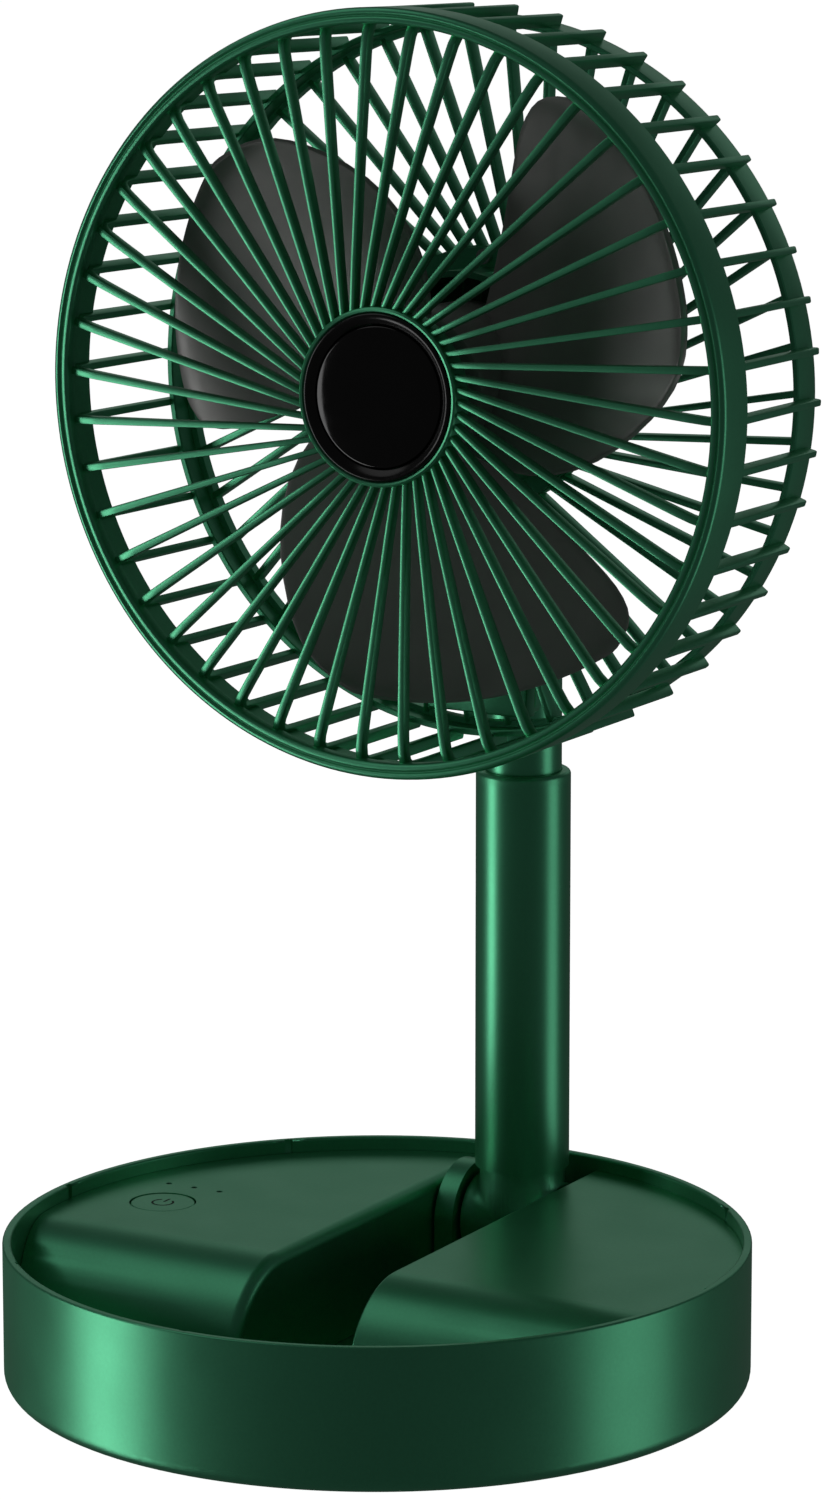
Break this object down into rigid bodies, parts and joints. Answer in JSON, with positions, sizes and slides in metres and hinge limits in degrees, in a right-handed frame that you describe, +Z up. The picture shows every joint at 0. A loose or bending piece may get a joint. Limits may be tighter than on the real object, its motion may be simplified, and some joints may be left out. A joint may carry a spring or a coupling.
{
  "type": "desk fan",
  "caption": "Folding desk fan with a round base, a telescopic pole that folds into a channel in the base, and a flat caged head that flips over onto it.",
  "frame": {"origin": "centre of the base's underside, on the plane of the rubber feet", "axes": "+Z up; the fan blows towards -Y; the pole stands at +Y; +X is the object's left as seen by someone behind it"},
  "size_m": [0.1856, 0.184, 0.3378],
  "materials": {
    "base_shell": "satin green moulded plastic",
    "pole_shell": "satin green moulded plastic",
    "pole_paint": "green pearl paint on aluminium tube",
    "cage": "satin green moulded plastic",
    "rubber": "moulded rubber",
    "steel": "plain steel",
    "cell_wrap": "shrink wrap",
    "black_plastic": "moulded plastic",
    "circuit_board": "solder mask",
    "light_pipe": "tinted clear plastic, unlit",
    "black_gloss": "polished black plastic",
    "copper_wire": "enamelled copper wire",
    "blade_plastic": "dark grey moulded plastic"
  },
  "bodies": {
    "base": {"base_tray": "base_shell", "left_deck": "base_shell", "right_deck": "base_shell", "rubber_feet": "rubber", "deck_screws": "steel", "ballast_plate": "steel", "left_cheek": "pole_shell", "right_cheek": "pole_shell", "fold_pin": "steel", "fold_pin_nut": "steel", "battery_cells": "cell_wrap", "battery_holder": "black_plastic", "control_board": "circuit_board", "button_switch": "black_plastic", "light_pipes": "light_pipe", "charging_socket": "steel", "socket_board": "circuit_board"},
    "button": {"power_button": "base_shell"},
    "outer_pole": {"pole_knuckle": "pole_shell", "left_friction_washer": "black_plastic", "right_friction_washer": "black_plastic", "outer_tube": "pole_paint", "tube_collar": "pole_shell", "guide_bush": "black_plastic"},
    "inner_pole": {"inner_tube": "pole_paint", "slide_shoe": "black_plastic", "pole_fork": "pole_shell"},
    "hinge_core": {"head_hinge_pin": "steel", "detent_plates": "steel"},
    "head": {"front_grille": "cage", "cage_ribs": "cage", "rear_grille": "cage", "hub_bezel": "black_gloss", "hub_disc": "black_gloss", "head_bracket": "cage", "bracket_screws": "steel", "motor_housing": "cage", "motor_screws": "steel", "motor_bearings": "steel", "stator_core": "steel", "stator_coils": "copper_wire", "motor_board": "circuit_board"},
    "rotor": {"fan_blades": "blade_plastic", "magnet_can": "steel", "motor_shaft": "steel", "blade_nut": "steel"}
  },
  "joints": [
    {"name": "pole_fold", "type": "hinge", "parent": "base", "child": "outer_pole", "pos_m": [0, 0.0733, 0.0225], "axis": [1, 0, 0], "range_deg": [0, 90]},
    {"name": "pole_slide", "type": "slide", "parent": "outer_pole", "child": "inner_pole", "axis": [0, 0, -1], "range_m": [-0.06, 0]},
    {"name": "head_flip", "type": "hinge", "parent": "inner_pole", "child": "hinge_core", "pos_m": [0, 0.0733, 0.169], "axis": [1, 0, 0], "range_deg": [-177.71, 0]},
    {"name": "head_tilt", "type": "hinge", "parent": "hinge_core", "child": "head", "pos_m": [0, 0.0733, 0.169], "axis": [1, 0, 0], "range_deg": [-85, 4]},
    {"name": "blade_spin", "type": "hinge", "parent": "head", "child": "rotor", "pos_m": [0, 0.0033, 0.24507], "axis": [0, -0.9992, 0.0401], "continuous": true},
    {"name": "button_press", "type": "slide", "parent": "base", "child": "button", "axis": [0, 0, -1], "range_m": [0, 0.0008], "stiffness_N_per_m": 600}
  ],
  "couplings": [
    {"joint": "head_flip", "follows": "pole_fold", "ratio": -1.9744}
  ]
}
